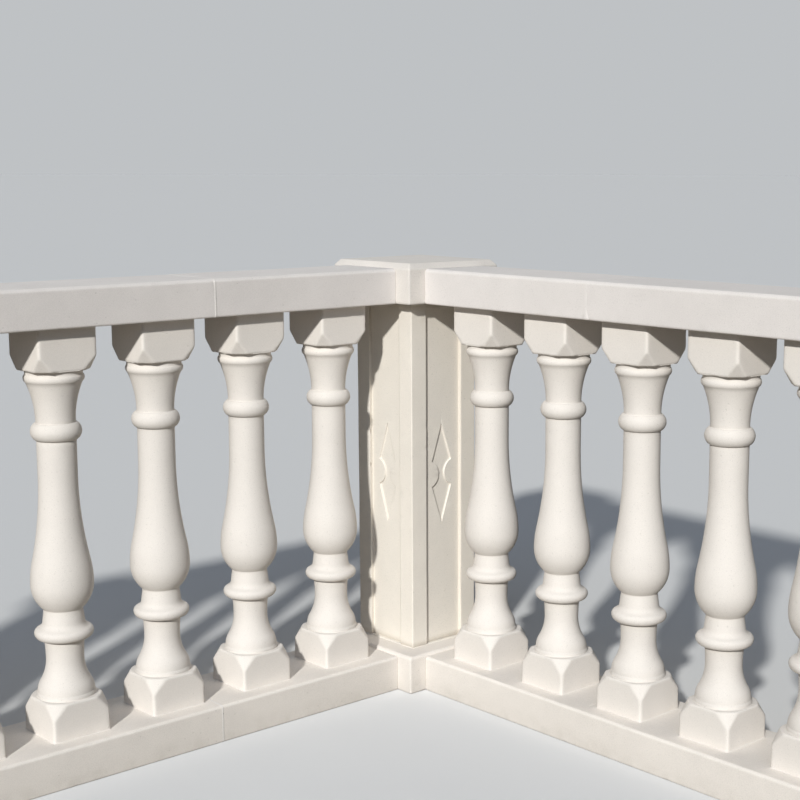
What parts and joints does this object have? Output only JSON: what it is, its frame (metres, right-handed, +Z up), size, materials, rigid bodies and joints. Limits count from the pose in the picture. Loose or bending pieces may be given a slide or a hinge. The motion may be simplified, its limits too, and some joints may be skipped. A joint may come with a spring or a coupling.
{
  "type": "stone balustrade corner",
  "caption": "Cast stone balustrade corner: square piers with sunk lozenge panels and caps, turned vase balusters, flat plinth course and bevelled handrail on both arms.",
  "frame": {"origin": "on the corner pier's axis, at the underside of its base block, which is ground level", "axes": "+Z up; the left arm runs along +X and the right arm along +Y, as seen from the inside of the corner"},
  "size_m": [2.161, 2.161, 0.993],
  "materials": {
    "plinth_stone": "fine cast stone, matt cream, slightly dirty at the foot",
    "pier_stone": "fine cast stone, matt cream",
    "rail_stone": "fine cast stone, matt cream, worn arrises",
    "baluster_stone": "smooth cast stone, matt white"
  },
  "bodies": {
    "root": {"corner_base_block": "plinth_stone", "corner_die": "pier_stone", "corner_cap": "rail_stone", "left_end_base_block": "plinth_stone", "left_end_die": "pier_stone", "left_end_cap": "rail_stone", "right_end_base_block": "plinth_stone", "right_end_die": "pier_stone", "right_end_cap": "rail_stone", "left_plinth_short": "plinth_stone", "left_plinth_long": "plinth_stone", "left_handrail_short": "rail_stone", "left_handrail_long": "rail_stone", "left_baluster_1": "baluster_stone", "left_baluster_2": "baluster_stone", "left_baluster_3": "baluster_stone", "left_baluster_4": "baluster_stone", "left_baluster_5": "baluster_stone", "left_baluster_6": "baluster_stone", "left_baluster_7": "baluster_stone", "right_plinth_short": "plinth_stone", "right_plinth_long": "plinth_stone", "right_handrail_short": "rail_stone", "right_handrail_long": "rail_stone", "right_baluster_1": "baluster_stone", "right_baluster_2": "baluster_stone", "right_baluster_3": "baluster_stone", "right_baluster_4": "baluster_stone", "right_baluster_5": "baluster_stone", "right_baluster_6": "baluster_stone", "right_baluster_7": "baluster_stone"}
  },
  "joints": []
}
